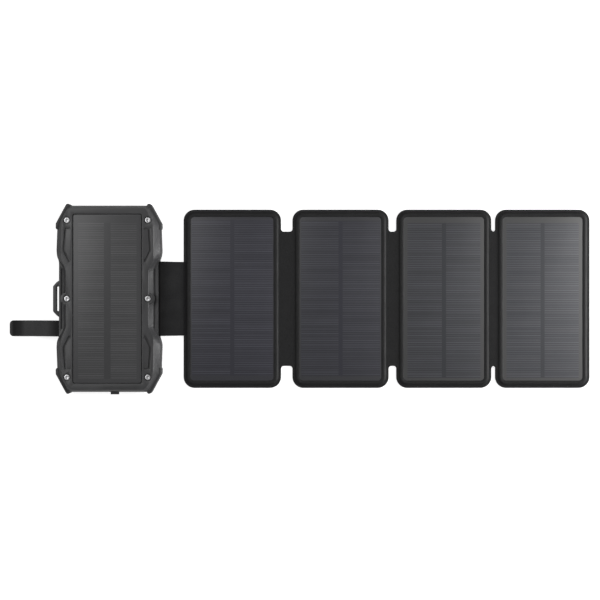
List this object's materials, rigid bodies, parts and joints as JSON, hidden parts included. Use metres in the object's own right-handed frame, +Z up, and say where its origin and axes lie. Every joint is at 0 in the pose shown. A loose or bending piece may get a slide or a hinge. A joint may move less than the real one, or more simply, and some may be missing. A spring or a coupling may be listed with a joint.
{
  "type": "folding solar phone charger",
  "caption": "Rugged power bank with a solar face and a chain of leatherette-framed solar panels that roll up onto it and close with a snap strap.",
  "frame": {"origin": "centre of the power bank's flat back face, on the table", "axes": "+X out along the open chain of panels, +Y along the bank towards its plain end, +Z up from the back face to the solar faces"},
  "size_m": [0.4745, 0.1541, 0.0215],
  "materials": {
    "case_plastic": "fine-textured satin moulding",
    "bumper_rubber": "matt moulded elastomer",
    "lug_steel": "satin grey coating",
    "silicone": "matt silicone",
    "screw_steel": "plain machined",
    "brass": "machined",
    "solar_laminate": "textured clear film over dark cells",
    "foam": "soft foam",
    "cell_foil": "aluminised pouch film",
    "tab_nickel": "plain",
    "circuit_board": "solder mask",
    "component_plastic": "moulded",
    "socket_steel": "plated",
    "clear_plastic": "clear moulding",
    "leatherette": "fine-grained, satin",
    "lead_copper": "flat flexible conductor",
    "stiffener_board": "plain board",
    "snap_metal": "plated"
  },
  "bodies": {
    "bank": {"rear_shell": "case_plastic", "front_frame": "case_plastic", "corner_bumpers": "bumper_rubber", "lanyard_lug": "lug_steel", "shell_gasket": "silicone", "face_screws": "screw_steel", "threaded_inserts": "brass", "bank_solar_laminate": "solar_laminate", "laminate_adhesive": "foam", "battery_cells": "cell_foil", "battery_pads": "foam", "battery_leads": "tab_nickel", "main_board": "circuit_board", "power_components": "component_plastic", "usb_a_sockets": "socket_steel", "usb_c_socket": "socket_steel", "control_board": "circuit_board", "tact_switch": "component_plastic", "indicator_leds": "clear_plastic", "light_pipe": "clear_plastic", "torch_lens": "clear_plastic", "torch_led": "circuit_board", "ribbon_tail": "leatherette", "strap_tail": "leatherette"},
    "power_button": {"power_button": "bumper_rubber"},
    "port_cover": {"port_cover": "silicone"},
    "ribbon": {"ribbon": "leatherette", "ribbon_lead": "lead_copper"},
    "panel_1": {"panel_1_back_skin": "leatherette", "panel_1_stiffener": "stiffener_board", "panel_1_laminate": "solar_laminate", "panel_1_front_skin": "leatherette", "snap_socket": "snap_metal"},
    "web_12": {"web_12": "leatherette", "web_12_lead": "lead_copper"},
    "panel_2": {"panel_2_back_skin": "leatherette", "panel_2_stiffener": "stiffener_board", "panel_2_laminate": "solar_laminate", "panel_2_front_skin": "leatherette"},
    "web_23": {"web_23": "leatherette", "web_23_lead": "lead_copper"},
    "panel_3": {"panel_3_back_skin": "leatherette", "panel_3_stiffener": "stiffener_board", "panel_3_laminate": "solar_laminate", "panel_3_front_skin": "leatherette"},
    "web_34": {"web_34": "leatherette", "web_34_lead": "lead_copper"},
    "panel_4": {"panel_4_back_skin": "leatherette", "panel_4_stiffener": "stiffener_board", "panel_4_laminate": "solar_laminate", "panel_4_front_skin": "leatherette"},
    "strap_root": {"strap_root": "leatherette"},
    "strap_tip": {"strap_tip": "leatherette", "snap_stud": "snap_metal"}
  },
  "joints": [
    {"name": "ribbon_fold", "type": "hinge", "parent": "bank", "child": "ribbon", "pos_m": [0.041, 0, 0.0115], "axis": [0, -1, 0], "range_deg": [0, 118.67]},
    {"name": "panel_1_fold", "type": "hinge", "parent": "ribbon", "child": "panel_1", "pos_m": [0.05938, 0, 0.00145], "axis": [0, -1, 0], "range_deg": [0, 61.33]},
    {"name": "web_12_fold", "type": "hinge", "parent": "panel_1", "child": "web_12", "pos_m": [0.13918, 0, 0.00145], "axis": [0, -1, 0], "range_deg": [0, 90]},
    {"name": "panel_2_fold", "type": "hinge", "parent": "web_12", "child": "panel_2", "pos_m": [0.14848, 0, 0.00145], "axis": [0, -1, 0], "range_deg": [0, 90]},
    {"name": "web_23_fold", "type": "hinge", "parent": "panel_2", "child": "web_23", "pos_m": [0.22728, 0, 0.00145], "axis": [0, -1, 0], "range_deg": [0, 90]},
    {"name": "panel_3_fold", "type": "hinge", "parent": "web_23", "child": "panel_3", "pos_m": [0.23348, 0, 0.00145], "axis": [0, -1, 0], "range_deg": [0, 90]},
    {"name": "web_34_fold", "type": "hinge", "parent": "panel_3", "child": "web_34", "pos_m": [0.31138, 0, 0.00145], "axis": [0, -1, 0], "range_deg": [0, 90]},
    {"name": "panel_4_fold", "type": "hinge", "parent": "web_34", "child": "panel_4", "pos_m": [0.31448, 0, 0.00145], "axis": [0, -1, 0], "range_deg": [0, 90]},
    {"name": "strap_fold", "type": "hinge", "parent": "bank", "child": "strap_root", "pos_m": [-0.0411, 0, 0.0115], "axis": [0, 1, 0], "range_deg": [0, 112.84]},
    {"name": "strap_tip_fold", "type": "hinge", "parent": "strap_root", "child": "strap_tip", "pos_m": [-0.06294, 0, 0.0023], "axis": [0, 1, 0], "range_deg": [0, 67.16]},
    {"name": "power_button_press", "type": "slide", "parent": "bank", "child": "power_button", "axis": [1, 0, 0], "range_m": [0, 0.0006], "stiffness_N_per_m": 1500, "springref_m": -0.0004},
    {"name": "port_cover_flap", "type": "hinge", "parent": "bank", "child": "port_cover", "pos_m": [0.005, -0.0747, 0.0036], "axis": [1, 0, 0], "range_deg": [0, 90]}
  ]
}
